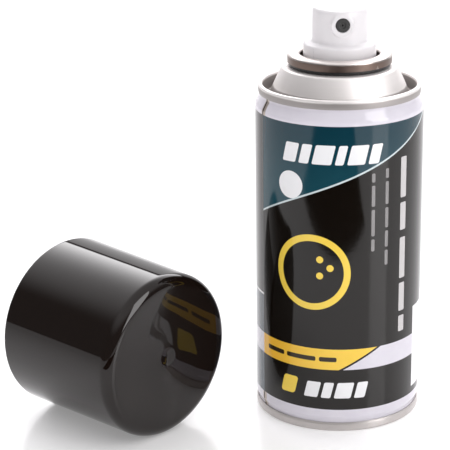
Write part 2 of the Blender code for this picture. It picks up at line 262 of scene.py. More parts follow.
def supported(outline, reach=0.0004):
    """The outline with points near the ends of its long straight runs, which keep edge wear at the edges."""
    path = []
    for start, end in zip(outline, outline[1:] + outline[:1]):
        path.append(start)
        run = Vector(end) - Vector(start)
        if run.length > 5 * reach and start[0] + end[0] > 0:
            near = reach / run.length
            path += [tuple(Vector(start) + run * share) for share in (near, 1 - near)]
    return path


def turned_mesh(name, outline, segments=SEGMENTS, sharp=40):
    """Solid of revolution about +Z from a closed outline of (radius, height) points."""
    outline = supported(outline)
    shape = bmesh.new()
    turns = [math.tau * i / segments for i in range(segments)]
    rings = []
    for radius, height in outline:
        if radius == 0:
            ring = [shape.verts.new((0, 0, height))] * segments
        else:
            ring = [shape.verts.new((radius * math.cos(t), radius * math.sin(t), height)) for t in turns]
        rings.append(ring)
    for ring, following in zip(rings, rings[1:] + rings[:1]):
        for i in range(segments):
            following_i = (i + 1) % segments
            corners = (ring[i], ring[following_i], following[following_i], following[i])
            corners = list(dict.fromkeys(corners))
            if len(corners) > 2:
                shape.faces.new(corners)
    bmesh.ops.recalc_face_normals(shape, faces=shape.faces)
    mesh = bpy.data.meshes.new(name)
    shape.to_mesh(mesh)
    shape.free()
    mesh.shade_smooth()
    mesh.set_sharp_from_angle(angle=math.radians(sharp))
    return mesh


def add_object(name, data):
    item = bpy.data.objects.new(name, data)
    bpy.context.scene.collection.objects.link(item)
    return item


def add_piece(node, mesh, material, place, body):
    """A visible piece that rides on a body and stands for a CAD node.

    Its object holds its place and its mesh holds its turn.
    """
    piece = add_object(f"{node}_skin", mesh)
    shift = Matrix.Translation(place.to_translation())
    mesh.transform(shift.inverted() @ place)
    piece.matrix_world = shift
    mesh.materials.clear()
    mesh.materials.append(material)
    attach(piece, body)
    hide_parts(node)
    return piece


def seam_radii(outside):
    """Middle radii of a double seam's layers: the end's curl, the can's wall and the end's inner wall."""
    curl = outside - SHEET / 2
    wall = curl - SHEET - GAP
    return curl, wall, wall - SHEET - GAP


def can_body_mesh():
    """Wall necked in at both ends, its edges standing inside the two double seams."""
    wall = CAN_RADIUS - SHEET / 2
    base_wall = seam_radii(BASE_SEAM_RADIUS)[1]
    top_wall = seam_radii(TOP_SEAM_RADIUS)[1]
    path = bent(
        [
            (base_wall, 0.0010),
            (base_wall, SEAM_DEPTH + 0.0006, 0.0010),
            (wall, SEAM_DEPTH + 0.0020, 0.0010),
            (wall, CAN_HEIGHT - 0.0064, 0.0025),
            (top_wall, CAN_HEIGHT - 0.0037, 0.0015),
            (top_wall, CAN_HEIGHT - 0.0011),
        ]
    )
    return turned_mesh("can_body_skin", sheet_outline(path))


def top_cone_mesh():
    """Top end: seam curl, countersink, cone and the rolled mouth."""
    curl, _, inner = seam_radii(TOP_SEAM_RADIUS)
    top = CAN_HEIGHT - SHEET / 2
    neck = MOUTH_RADIUS + SHEET / 2
    path = bent(
        [
            (curl - 0.00012, CAN_HEIGHT - SEAM_DEPTH),
            (curl, CAN_HEIGHT - SEAM_DEPTH + 0.0007, 0.0008),
            (curl, top, 0.00048),
            (inner, top, 0.00048),
            (inner - 0.0003, COUNTERSINK_HEIGHT, 0.0006),
            (inner - 0.0019, COUNTERSINK_HEIGHT, 0.0007),
            (CONE_RADIUS, CONE_TOP - SHEET / 2, 0.0008),
            (neck, CONE_TOP - SHEET / 2, 0.0003),
            (neck, MOUTH_TOP, 0.0008),
            (neck + 0.0019, MOUTH_TOP, 0.0008),
            (neck + 0.0019, 0.1123),
        ]
    )
    return turned_mesh("top_cone_skin", sheet_outline(path))


def dome_height(radius):
    """Height of the dome's middle sheet at a radius."""
    return DOME_HEIGHT - DOME_RADIUS + math.sqrt(DOME_RADIUS**2 - radius**2)


def bottom_dome_mesh():
    """Bottom end: seam curl, foot and the dome pressed up into the can."""
    curl, _, inner = seam_radii(BASE_SEAM_RADIUS)
    foot = SHEET / 2
    rim = 0.0225
    path = bent(
        [
            (curl - 0.00012, SEAM_DEPTH),
            (curl, SEAM_DEPTH - 0.0007, 0.0008),
            (curl, foot, 0.00045),
            (inner, foot, 0.00045),
            (inner - 0.0001, 0.0042, 0.0007),
            (rim, dome_height(rim)),
        ]
    )
    rings = 18
    radii = [rim * (1 - ring / rings) for ring in range(1, rings + 1)]
    path += [(radius, dome_height(radius)) for radius in radii]
    return turned_mesh("bottom_dome_skin", sheet_outline(path))


def valve_cup_mesh():
    """Mounting cup from its outer edge over the mouth, down to the floor and up the pedestal."""
    edge = CUP_RADIUS - SHEET / 2
    top = CUP_TOP - SHEET / 2
    wall = MOUTH_RADIUS - GAP - SHEET / 2
    pedestal = PEDESTAL_RADIUS - SHEET / 2
    path = bent(
        [
            (edge, 0.11245),
            (edge, top, 0.0009),
            (wall, top, 0.0008),
            (wall, 0.1110, 0.0006),
            (wall + 0.0007, 0.1097, 0.0004),
            (wall - 0.0006, CUP_FLOOR, 0.0009),
            (pedestal + 0.0010, CUP_FLOOR, 0.0006),
            (pedestal - 0.0008, 0.1093, 0.0003),
            (pedestal, 0.1104, 0.0003),
            (pedestal, PEDESTAL_TOP - SHEET / 2, 0.0008),
            (STEM_RADIUS + 0.0006, PEDESTAL_TOP - SHEET / 2),
        ],
        6,
    )
    return turned_mesh("valve_cup_skin", sheet_outline(path))


def cup_gasket_mesh():
    """Ring between the cup and the mouth, with the part that shows below the cup's edge. Its black hem
    reaches down to the cone: partly the real gasket and partly a painted shade, a dark sheet filling the
    shadowed gap under the cup's edge.
    """
    outside = CUP_RADIUS - SHEET - GAP
    inside = MOUTH_RADIUS + 0.0024
    top = CUP_TOP - SHEET - GAP
    underside = top - 0.0003
    outline = closed_bent(
        [
            # Painted shade: the hem runs down to the cone's top, so the black sheet stands partly for the
            # shade in the gap below the cup's edge.
            (inside - 0.0007, CONE_TOP + 0.0007),
            (inside - 0.0007, CONE_TOP + 0.00025),
            (inside - 0.0003, CONE_TOP + 0.00025, 0.0001),
            (outside, CONE_TOP + 0.0003, 0.0003),
            (outside, top - 0.0007, 0.0003),
            (outside - 0.0007, top, 0.0003),
            (0.0134, top),
            (0.0134, underside),
            (inside - 0.0003, underside),
            (inside, underside - 0.0003),
            (inside, CONE_TOP + 0.0008),
        ]
    )
    return turned_mesh("cup_gasket_skin", outline)


def block(radius, bottom, top):
    """Outline of a plain cylinder."""
    return [(0.0, bottom), (radius, bottom), (radius, top), (0.0, top)]


def combine(piece, other, operation):
    modifier = piece.modifiers.new(f"{operation.lower()} {other.name}", "BOOLEAN")
    modifier.operation = operation
    modifier.solver = "EXACT"
    modifier.object = other


def applied_mesh(piece, name):
    """The mesh of a working object with its modifiers applied."""
    bpy.context.view_layer.update()
    graph = bpy.context.evaluated_depsgraph_get()
    mesh = bpy.data.meshes.new_from_object(piece.evaluated_get(graph), depsgraph=graph)
    mesh.name = name
    return mesh


def actuator_mesh():
    """Push button with a saddle for the finger and a small boss round the nozzle, its edges softened."""
    socket = STEM_RADIUS + 0.00006
    post = 0.0034
    cavity = ACTUATOR_RADIUS - ACTUATOR_WALL
    cavity_top = 0.1215
    flange_underside = FLANGE_TOP - 0.0014
    channel = 0.0010
    channel_top = NOZZLE_HEIGHT + 0.0006
    outline = closed_bent(
        [
            (0.0, channel_top),
            (channel, channel_top),
            (channel, STEM_TOP + GAP),
            (socket, STEM_TOP + GAP),
            (socket, POST_BOTTOM),
            (post, POST_BOTTOM),
            (post, cavity_top),
            (cavity, cavity_top),
            (cavity, flange_underside),
            (FLANGE_RADIUS - ACTUATOR_WALL, flange_underside),
            (FLANGE_RADIUS - ACTUATOR_WALL, SKIRT_BOTTOM),
            (FLANGE_RADIUS, SKIRT_BOTTOM, 0.0002),
            (FLANGE_RADIUS, FLANGE_TOP, 0.0007),
            (ACTUATOR_RADIUS, FLANGE_TOP + 0.0002, 0.0007),
            (ACTUATOR_RADIUS, ACTUATOR_TOP, 0.0015),
            (0.0, ACTUATOR_TOP),
        ]
    )
    working = add_object("actuator_working", turned_mesh("actuator_turned", outline, 128))
    boss = add_object("boss", turned_mesh("boss", block(BOSS_RADIUS, BOSS_BACK, BOSS_FACE), 64))
    pocket_floor = NOZZLE_FACE - NOZZLE_LENGTH - GAP
    pocket_radius = NOZZLE_RADIUS + 0.5 * GAP
    past_face = NOZZLE_FACE + 0.0035
    pocket = add_object("pocket", turned_mesh("pocket", block(pocket_radius, pocket_floor, past_face), 64))
    for tool in (boss, pocket):
        tool.location.z = NOZZLE_HEIGHT
        tool.rotation_euler.x = math.pi / 2
    reach = 0.0200
    scoop = add_object("scoop", turned_mesh("scoop", block(SCOOP_RADIUS, -reach, reach), 256))
    scoop.location.z = ACTUATOR_TOP - SCOOP_DEPTH + SCOOP_RADIUS / math.cos(SCOOP_SLOPE)
    scoop.rotation_euler.x = math.pi / 2 - SCOOP_SLOPE
    combine(working, boss, "UNION")
    combine(working, scoop, "DIFFERENCE")
    combine(working, pocket, "DIFFERENCE")
    remesh = working.modifiers.new("remesh", "REMESH")
    remesh.mode = "VOXEL"
    remesh.voxel_size = ACTUATOR_VOXEL
    remesh.use_smooth_shade = True
    soften = working.modifiers.new("soften", "SMOOTH")
    soften.factor = 0.5
    soften.iterations = 5
    mesh = applied_mesh(working, "actuator_skin")
    for item in (working, boss, pocket, scoop):
        bpy.data.objects.remove(item)
    soften_top(mesh)
    return mesh


def soften_top(mesh):
    """Rounds the edge of the finger saddle, leaving the nozzle's pocket and the boss as they are."""
    shape = bmesh.new()
    shape.from_mesh(mesh)
    shape.verts.ensure_lookup_table()
    round_nozzle = 0.0028
    bore_radius = 0.0040
    bore_top = NOZZLE_HEIGHT + 0.0012
    loose = []
    for vert in shape.verts:
        from_nozzle = math.hypot(vert.co.x, vert.co.z - NOZZLE_HEIGHT)
        near_nozzle = vert.co.y < -BOSS_BACK and from_nozzle < round_nozzle
        in_bore = math.hypot(vert.co.x, vert.co.y) < bore_radius and vert.co.z < bore_top
        if vert.co.z > ACTUATOR_SOFT_ABOVE and not near_nozzle and not in_bore:
            loose.append(vert)
    axes = {"use_axis_x": True, "use_axis_y": True, "use_axis_z": True}
    for _ in range(ACTUATOR_SOFT_ROUNDS):
        bmesh.ops.smooth_vert(shape, verts=loose, factor=0.5, **axes)
    shape.to_mesh(mesh)
    shape.free()
    mesh.shade_smooth()


def nozzle_insert_mesh():
    """Disc with a shallow recess round its spray hole, standing on its back along +Z."""
    hole = 0.00025
    recess = NOZZLE_LENGTH - 0.0003
    outline = closed_bent(
        [
            (hole, 0.0),
            (NOZZLE_RADIUS, 0.0),
            (NOZZLE_RADIUS, NOZZLE_LENGTH, 0.00020),
            (0.0011, NOZZLE_LENGTH, 0.0001),
            (0.0009, recess, 0.0001),
            (hole, recess, 0.00005),
        ]
    )
    return turned_mesh("nozzle_insert_skin", outline, 96)


def valve_spring_mesh(low, high):
    """Round wire wound about +Z between two heights."""
    steps_per_turn = 32
    steps = SPRING_TURNS * steps_per_turn
    bottom, top = low + WIRE_RADIUS, high - WIRE_RADIUS
    curve = bpy.data.curves.new("spring_wire", "CURVE")
    curve.dimensions = "3D"
    curve.bevel_depth = WIRE_RADIUS
    curve.bevel_resolution = 3
    curve.use_fill_caps = True
    wire = curve.splines.new("POLY")
    wire.points.add(steps)
    for step, point in enumerate(wire.points):
        turn = math.tau * step / steps_per_turn
        height = bottom + (top - bottom) * step / steps
        point.co = (SPRING_RADIUS * math.cos(turn), SPRING_RADIUS * math.sin(turn), height, 1.0)
    working = add_object("spring_working", curve)
    mesh = applied_mesh(working, "valve_spring_skin")
    bpy.data.objects.remove(working)
    mesh.shade_smooth()
    return mesh


def overcap_mesh():
    """Cap with its rim at zero and its end up: drafted side, round edge, dished end and a moulding dimple."""
    edge = CAP_END_RADIUS - CAP_EDGE_BEND
    side_end = CAP_LENGTH - CAP_EDGE_BEND
    dish = CAP_LENGTH - CAP_DISH_DEPTH
    rim_bore = CAP_RIM_RADIUS - CAP_WALL
    end_bore = CAP_END_RADIUS - CAP_WALL
    roof = dish - CAP_WALL
    rim_bend = 0.0003
    outline = arc((CAP_RIM_RADIUS - rim_bend, rim_bend), rim_bend, -90, 0, 4)
    outline += arc((edge, side_end), CAP_EDGE_BEND, 0, 90, 16)
    rings = 12
    for ring in range(1, rings + 1):
        share = ring / rings
        fall = (CAP_LENGTH - dish) * (1 - math.cos(math.pi * share)) / 2
        outline.append((edge - (edge - CAP_DISH_RADIUS) * share, CAP_LENGTH - fall))
    steps = 14
    for step in range(steps + 1):
        share = step / steps
        fall = CAP_DIMPLE_DEPTH * (1 - math.cos(math.pi * share)) / 2
        outline.append((CAP_DIMPLE_RADIUS * (1 - share), dish - fall))
    # Inside, from the middle of the roof out and down past the snap bead
    outline += [
        (0.0, roof),
        (edge - 0.0010, roof),
        (end_bore, side_end - 0.0006),
        (rim_bore, 0.0034),
        (rim_bore - 0.0005, 0.0029),
        (rim_bore - 0.0008, 0.0026),
        (rim_bore - 0.0009, 0.0023),
        (rim_bore - 0.0008, 0.0020),
        (rim_bore - 0.0005, 0.0017),
        (rim_bore, 0.0012),
        (rim_bore, rim_bend),
        (rim_bore + rim_bend, 0.0),
    ]
    return turned_mesh("overcap_skin", outline)


# ---------------------------------------------------------------- materials


class Tree:
    """Short ways to add nodes to one node tree."""

    def __init__(self, tree):
        self.tree = tree

    def set(self, socket, value):
        if isinstance(value, bpy.types.NodeSocket):
            self.tree.links.new(value, socket)
        else:
            socket.default_value = value

    def node(self, kind, inputs=(), **settings):
        item = self.tree.nodes.new(kind)
        for name, value in settings.items():
            setattr(item, name, value)
        for key, value in dict(inputs).items():
            self.set(item.inputs[key], value)
        return item

    def math(self, operation, *values, clamp=False):
        item = self.node("ShaderNodeMath", operation=operation, use_clamp=clamp)
        for socket, value in zip(item.inputs, values):
            self.set(socket, value)
        return item.outputs[0]

    def vector(self, operation, *values):
        item = self.node("ShaderNodeVectorMath", operation=operation)
        for socket, value in zip(item.inputs, values):
            self.set(socket, value)
        return item.outputs[0]

    def step(self, value, low, high):
        """0 below low and 1 above high, smooth between."""
        item = self.node("ShaderNodeMapRange", interpolation_type="SMOOTHSTEP")
        self.set(item.inputs["Value"], value)
        self.set(item.inputs["From Min"], low)
        self.set(item.inputs["From Max"], high)
        return item.outputs["Result"]

    def noise(self, vector, scale, detail=2.0, roughness=0.5):
        inputs = {"Vector": vector, "Scale": scale, "Detail": detail, "Roughness": roughness}
        return self.node("ShaderNodeTexNoise", inputs).outputs["Fac"]

    def mix(self, share, first, second):
        """Colour mix: first where share is 0, second where it is 1."""
        item = self.node("ShaderNodeMix", data_type="RGBA")
        self.set(item.inputs[0], share)
        self.set(item.inputs[6], first)
        self.set(item.inputs[7], second)
        return item.outputs[2]

    def blend(self, share, first, second):
        """Value mix."""
        item = self.node("ShaderNodeMix", data_type="FLOAT")
        self.set(item.inputs[0], share)
        self.set(item.inputs[2], first)
        self.set(item.inputs[3], second)
        return item.outputs[0]

    def bump(self, height, distance, strength=1.0, normal=None):
        item = self.node("ShaderNodeBump", {"Strength": strength, "Distance": distance, "Height": height})
        if normal is not None:
            self.set(item.inputs["Normal"], normal)
        return item.outputs[0]

    def worn_edges(self, place, sharpest=0.62, rim=None):
        """Towards 1 in the broken patches of wear along sharp outer edges.

        With rim, an axis that points inwards from a rim at its zero, only that rim is worn.
        """
        patches = self.step(self.noise(place, 700.0, 4.0, 0.6), 0.42, 0.62)
        if rim is not None:
            inward = self.node("ShaderNodeVectorMath", operation="DOT_PRODUCT")
            self.set(inward.inputs[0], place)
            self.set(inward.inputs[1], rim)
            edge = self.math("SUBTRACT", 1.0, self.step(inward.outputs["Value"], 0.0002, 0.0007))
        else:
            sharpness = self.node("ShaderNodeNewGeometry").outputs["Pointiness"]
            edge = self.step(sharpness, sharpest - 0.08, sharpest)
        return self.both(edge, patches)

    def both(self, first, second):
        """The product of two shares."""
        return self.math("MULTIPLY", first, second)

    def most(self, values):
        """The highest of several values."""
        total = values[0]
        for value in values[1:]:
            total = self.math("MAXIMUM", total, value)
        return total


def colour(red, green, blue):
    return (red, green, blue, 1.0)


def new_material(name):
    material = bpy.data.materials.new(name)
    material.use_nodes = True
    tree = Tree(material.node_tree)
    surface = material.node_tree.nodes["Principled BSDF"]
    place = tree.node("ShaderNodeTexCoord").outputs["Object"]
    return material, tree, surface, place


def moulded_plastic(name, base, tint, roughness, grain, grain_depth, shine=0.5, rim=None):
    """Injection-moulded plastic: faint tone drift, handling marks in the gloss, and fine grain."""
    material, tree, surface, place = new_material(name)
    drift = tree.noise(place, 90.0, 3.0)
    wear = tree.worn_edges(place, rim=rim)
    rubbed = colour(*[0.78 * part + 0.05 for part in base[:3]])
    tree.set(surface.inputs["Base Color"], tree.mix(wear, tree.mix(drift, base, tint), rubbed))
    marks = tree.noise(place, 600.0, 4.0, 0.6)
    gloss = tree.blend(marks, roughness * 0.85, roughness * 1.25)
    tree.set(surface.inputs["Roughness"], tree.blend(wear, gloss, 0.4))
    fine = tree.noise(place, grain, 2.0)
    tree.set(surface.inputs["Normal"], tree.bump(fine, grain_depth))
    surface.inputs["Specular IOR Level"].default_value = shine
    return material


def bare_metal(name, base, tint, roughness, streak, metallic=1.0, painted_shade=None):
    """Rolled sheet: fine turning lines, tone drift and darker handling marks.

    A painted shade is a darker colour and the height that it is painted below: the shade and dark reflections
    of the lower, sideways-facing sheet.
    """
    material, tree, surface, place = new_material(name)
    surface.inputs["Metallic"].default_value = metallic
    drift = tree.noise(place, 110.0, 3.0)
    stretched = tree.vector("MULTIPLY", place, (40.0, 40.0, 1800.0))
    lines = tree.noise(stretched, 1.0, 2.0)
    shade = tree.math("MULTIPLY_ADD", lines, streak, tree.math("MULTIPLY", drift, 1 - streak))
    paint = tree.mix(shade, base, tint)
    # Painted shade: below the given height the sheet turns to the darker tone, with shade and dark
    # reflections painted into its colour.
    if painted_shade is not None:
        tone, shaded_below = painted_shade
        height = tree.node("ShaderNodeSeparateXYZ", {"Vector": place}).outputs["Z"]
        uneven = tree.math("MULTIPLY_ADD", drift, 0.0004, height)
        paint = tree.mix(tree.step(uneven, shaded_below, shaded_below + 0.0006), tone, paint)
    wear = tree.math("MULTIPLY", tree.worn_edges(place, 0.72), 0.5)
    tree.set(surface.inputs["Base Color"], tree.mix(wear, paint, base))
    marks = tree.noise(place, 260.0, 4.0, 0.55)
    gloss = tree.blend(marks, roughness * 0.9, roughness * 1.15)
    tree.set(surface.inputs["Roughness"], tree.blend(wear, gloss, roughness * 0.7))
    tree.set(surface.inputs["Normal"], tree.bump(lines, 0.000004, 0.3))
    return material


def rubber(name, base, tint, roughness):
    """Matt rubber or sealing compound with a little dust on it."""
    material, tree, surface, place = new_material(name)
    dust = tree.step(tree.noise(place, 900.0, 5.0, 0.7), 0.5, 0.75)
    tree.set(surface.inputs["Base Color"], tree.mix(dust, base, tint))
    tree.set(surface.inputs["Roughness"], tree.blend(dust, roughness * 0.8, roughness))
    tree.set(surface.inputs["Normal"], tree.bump(tree.noise(place, 3000.0, 2.0), 0.00003))
    return material


def shape_group():
    """Node group: rounded, slanted bar round a centre, filled or as a line of the given width."""
    group = bpy.data.node_groups.new("label_bar", "ShaderNodeTree")
    names = ("u", "v", "middle u", "middle v", "half u", "half v", "corner", "slant", "line")
    for name in names:
        group.interface.new_socket(name, in_out="INPUT", socket_type="NodeSocketFloat")
    group.interface.new_socket("share", in_out="OUTPUT", socket_type="NodeSocketFloat")
    tree = Tree(group)
    given = tree.node("NodeGroupInput").outputs
    across = tree.math("SUBTRACT", given["v"], given["middle v"])
    along = tree.math("SUBTRACT", given["u"], given["middle u"])
    along = tree.math("SUBTRACT", along, tree.math("MULTIPLY", across, given["slant"]))
    excess = []
    for distance, half in ((along, given["half u"]), (across, given["half v"])):
        reach = tree.math("SUBTRACT", tree.math("ABSOLUTE", distance), half)
        excess.append(tree.math("ADD", reach, given["corner"]))
    outer = [tree.math("MAXIMUM", value, 0.0) for value in excess]
    squares = [tree.math("MULTIPLY", value, value) for value in outer]
    length = tree.math("SQRT", tree.math("ADD", *squares))
    inner = tree.math("MINIMUM", tree.math("MAXIMUM", *excess), 0.0)
    edge = tree.math("SUBTRACT", tree.math("ADD", length, inner), given["corner"])
    half_line = tree.math("MULTIPLY", given["line"], 0.5)
    edge = tree.math("SUBTRACT", tree.math("ABSOLUTE", tree.math("ADD", edge, half_line)), half_line)
    share = tree.math("SUBTRACT", 1.0, tree.step(edge, -SOFT_EDGE, SOFT_EDGE))
    ending = tree.node("NodeGroupOutput")
    tree.set(ending.inputs["share"], share)
    return group


class Label:
    """Draws flat printed shapes in one material's tree, each ink over the paint that is already there."""

    def __init__(self, tree, place):
        self.tree = tree
        self.group = shape_group()
        parts = tree.node("ShaderNodeSeparateXYZ", {"Vector": place}).outputs
        back = tree.math("MULTIPLY", parts["Y"], -1.0)
        angle = tree.math("ARCTAN2", parts["X"], back)
        self.u = tree.math("MULTIPLY", angle, CAN_RADIUS * MM)
        self.v = tree.math("MULTIPLY", parts["Z"], MM)
        self.paint = None

    def ink(self, share, tone):
        """Covers the paint with a tone where the share is 1."""
        self.paint = self.tree.mix(share, self.paint, tone)

    def bar(self, middle, half, corner=0.0, slant=0.0, line=FILLED):
        values = {
            "u": self.u,
            "v": self.v,
            "middle u": middle[0],
            "middle v": middle[1],
            "half u": half[0],
            "half v": half[1],
            "corner": corner,
            "slant": slant,
            "line": line,
        }
        return self.tree.node("ShaderNodeGroup", values, node_tree=self.group).outputs[0]

    def ring(self, middle, radius, line=FILLED):
        """Disc, or a ring of the given line width."""
        return self.bar(middle, (radius, radius), radius, 0.0, line)

    def between(self, value, low, high):
        """1 where the value lies between two others."""
        tree = self.tree
        above = tree.step(tree.math("SUBTRACT", value, low), -SOFT_EDGE, SOFT_EDGE)
        below = tree.step(tree.math("SUBTRACT", high, value), -SOFT_EDGE, SOFT_EDGE)
        return tree.both(above, below)


def sweep_height(tree, u):
    """Height of the curved lower edge of the coloured field."""
    front, first, second, third = SWEEP_CURVE
    turn = tree.math("DIVIDE", u, SWEEP_SPAN)
    square = tree.math("MULTIPLY", turn, turn)
    cube = tree.math("MULTIPLY", square, turn)
    height = tree.math("MULTIPLY_ADD", turn, first, front)
    height = tree.math("MULTIPLY_ADD", square, second, height)
    return tree.math("MULTIPLY_ADD", cube, third, height)


def slanted_blocks(label, left, middle, half_height, widths, slant=0.24):
    """Row of plain blocks of several widths, standing where a name would be."""
    blocks = []
    for width in widths:
        blocks.append(label.bar((left + width / 2, middle), (width / 2, half_height), 0.5, slant))
        left += width + 1.1
    return blocks


def dash_column(label, middle, top, half_width, gap, halves):
    """Upright line of plain dashes, from the top down, in place of reading matter."""
    dashes = []
    height = top
    for half in halves:
        height -= half
        dashes.append(label.bar((middle, height), (half_width, half), 0.4))
        height -= half + gap
    return dashes


def label_inks(label, place):
    """The inks, of which the main ones drift faintly in tone; the teal darkens upwards as a painted
    reflection.
    """
    tree = label.tree
    drift = tree.noise(place, 260.0, 3.0)
    teal_painted_reflection = tree.step(label.v, 74.0, 99.0)
    across = tree.step(label.u, -30.0, 0.0)
    return {
        "black": tree.mix(drift, colour(0.0050, 0.0034, 0.0022), colour(0.0075, 0.0055, 0.0042)),
        "lavender": tree.mix(drift, colour(0.69, 0.66, 0.735), colour(0.75, 0.725, 0.785)),
        "white": tree.mix(drift, colour(0.86, 0.86, 0.88), colour(0.90, 0.90, 0.91)),
        # The teal darkens towards the top of the wall: a painted reflection, with the darker surroundings
        # that the upper wall reflects painted into the ink.
        "teal": tree.mix(teal_painted_reflection, colour(0.011, 0.062, 0.085), colour(0.004, 0.036, 0.054)),
        "yellow": tree.mix(across, colour(0.92, 0.50, 0.045), colour(0.93, 0.62, 0.075)),
    }


def print_field(label, inks):
    """Coloured field above a curved sweep, with a pale line along its edge."""
    tree = label.tree
    edge = sweep_height(tree, label.u)
    across = label.between(label.u, LABEL_LEFT, FIELD_RIGHT)
    label.ink(tree.both(label.between(label.v, edge, ABOVE_ALL), across), inks["teal"])
    low = tree.math("SUBTRACT", edge, SWEEP_LINE)
    high = tree.math("ADD", edge, SWEEP_LINE)
    label.ink(tree.both(label.between(label.v, low, high), across), colour(0.62, 0.70, 0.72))


def print_band(label, inks):
    """Band of two tones with a slanted cut between them. Returns the band's share."""
    tree = label.tree
    low, high = TWO_TONE_BAND
    band = label.between(label.v, low, high)
    cut = tree.math("MULTIPLY_ADD", tree.math("SUBTRACT", label.v, low), BAND_CUT_SLOPE, BAND_CUT)
    golden = label.between(label.u, LABEL_LEFT, cut)
    pale_right = label.between(label.u, tree.math("ADD", cut, BAND_CUT_GAP), FIELD_RIGHT)
    pale_left = label.between(label.u, PRINT_LEFT, LABEL_LEFT)
    label.ink(tree.both(band, tree.math("MAXIMUM", pale_right, pale_left)), inks["lavender"])
    label.ink(tree.both(band, golden), inks["yellow"])
    return band


def print_placeholders(label, inks):
    """Plain blocks, dashes, dots and a ring in place of names, reading matter and pictograms."""
    tree = label.tree
    title = slanted_blocks(label, -17.6, 89.6, 3.0, (4.6, 3.2, 6.0, 2.6, 5.4, 3.4))
    foot = slanted_blocks(label, -10.0, 13.8, 2.6, (4.4, 3.0, 5.2, 3.4))
    spot = label.ring((-15.5, 79.3), 4.3)
    label.ink(tree.most([spot, *title, *foot]), inks["white"])
    large = dash_column(label, 22.2, 87.0, 1.25, 1.6, (6.4, 4.4))
    large += dash_column(label, 22.2, 61.4, 1.25, 1.6, (6.6, 4.6, 2.6))
    label.ink(tree.most(large), colour(0.58, 0.56, 0.56))
    small = dash_column(label, 15.5, 84.5, 0.55, 1.0, (1.5, 3.6, 3.2, 2.6, 2.4))
    small += dash_column(label, 10.8, 83.5, 0.55, 1.0, (1.4, 3.3, 4.2, 1.9))
    label.ink(tree.most(small), colour(0.26, 0.25, 0.25))
    ring = label.ring((-8.2, 52.3), 12.1, 2.1)
    dots = [label.ring(middle, 1.1) for middle in ((-5.6, 56.6), (-2.4, 54.0), (-5.6, 51.4))]
    tile = label.bar((-15.8, 14.2), (2.6, 2.9), 1.0, 0.24)
    label.ink(tree.most([ring, tile, *dots]), colour(0.92, 0.66, 0.09))
    on_band = slanted_blocks(label, -25.4, 24.1, 0.75, (7.5, 10.0, 5.5), 0.0)
    label.ink(tree.most(on_band), colour(0.03, 0.02, 0.01))


def print_sides(label, inks, band):
    """Panels and rows of plain dashes on the sides and the back of the label."""
    tree = label.tree
    right = label.between(label.u, LABEL_RIGHT, PRINT_RIGHT)
    label.ink(tree.both(right, label.between(label.v, *RIGHT_PANEL)), inks["white"])
    left = label.between(label.u, PRINT_LEFT, LABEL_LEFT)
    low = tree.both(left, label.between(label.v, BOTTOM_BAND, LEFT_PANEL_TOP))
    low = tree.both(low, tree.math("SUBTRACT", 1.0, band))
    label.ink(low, colour(0.075, 0.095, 0.115))
    rule = label.between(label.v, LEFT_PANEL_TOP, LEFT_PANEL_TOP + 0.6)
    label.ink(tree.both(left, rule), inks["white"])
    rows = []
    for middle in (-64.0, 58.0):
        start = middle - max(ROW_HALVES)
        for row, half in enumerate(ROW_HALVES):
            rows.append(label.bar((start + half, ROW_TOP - ROW_PITCH * row), (half, 0.6), 0.3))
    label.ink(tree.most(rows), colour(0.40, 0.40, 0.41))


def print_margins(label, inks):
    """Unprinted ends, with the side weld showing across them. Returns the weld's share."""
    tree = label.tree
    top = label.between(label.v, TOP_BAND, ABOVE_ALL)
    bottom = label.between(label.v, BELOW_ALL, BOTTOM_BAND)
    margins = tree.math("MAXIMUM", top, bottom)
    label.ink(margins, inks["lavender"])
    weld_zone = tree.both(margins, label.between(label.u, LABEL_LEFT - 0.9, LABEL_LEFT + 1.5))
    label.ink(weld_zone, colour(0.50, 0.43, 0.38))
    seam_line = tree.both(margins, label.between(label.u, LABEL_LEFT - 0.45, LABEL_LEFT + 0.25))
    label.ink(seam_line, colour(0.02, 0.015, 0.012))
    return weld_zone


def printed_tin():
    """Printed and varnished tinplate of the can's wall."""
    material, tree, surface, place = new_material("printed_tin")
    label = Label(tree, place)
    inks = label_inks(label, place)
    label.paint = inks["black"]
    print_field(label, inks)
    band = print_band(label, inks)
    print_placeholders(label, inks)
    print_sides(label, inks, band)
    weld_zone = print_margins(label, inks)
    wear = tree.worn_edges(place)
    tree.set(surface.inputs["Base Color"], tree.mix(wear, label.paint, colour(0.55, 0.53, 0.51)))

    handling = tree.noise(place, 380.0, 5.0, 0.65)
    gloss = tree.blend(handling, 0.05, 0.12)
    tree.set(surface.inputs["Roughness"], tree.blend(weld_zone, gloss, 0.35))
    tree.set(surface.inputs["Metallic"], tree.math("MULTIPLY", weld_zone, 0.8))
    surface.inputs["Specular IOR Level"].default_value = 0.42
    relief = tree.bump(tree.noise(place, 900.0, 2.0), 0.000010, 0.5)
    weld = label.between(label.u, LABEL_LEFT - 0.5, LABEL_LEFT + 0.5)
    tree.set(surface.inputs["Normal"], tree.bump(weld, 0.00005, 0.6, relief))
    return material


# ---------------------------------------------------------------- stage, lights and camera


def flat_card(name, size_x, size_y, material):
    """Rectangle about the origin in the XY plane, as part of the stage."""
    shape = bmesh.new()
    corners = [(-0.5, -0.5), (0.5, -0.5), (0.5, 0.5), (-0.5, 0.5)]
    shape.faces.new([shape.verts.new((x * size_x, y * size_y, 0.0)) for x, y in corners])
    mesh = bpy.data.meshes.new(name)
    shape.to_mesh(mesh)
    shape.free()
    mesh.materials.append(material)
    card = add_object(name, mesh)
    return card


def only_in_reflections(card):
    """Hides a card from all but glossy rays."""
    card.visible_camera = False
    card.visible_diffuse = False
    card.visible_shadow = False
    card.visible_transmission = False


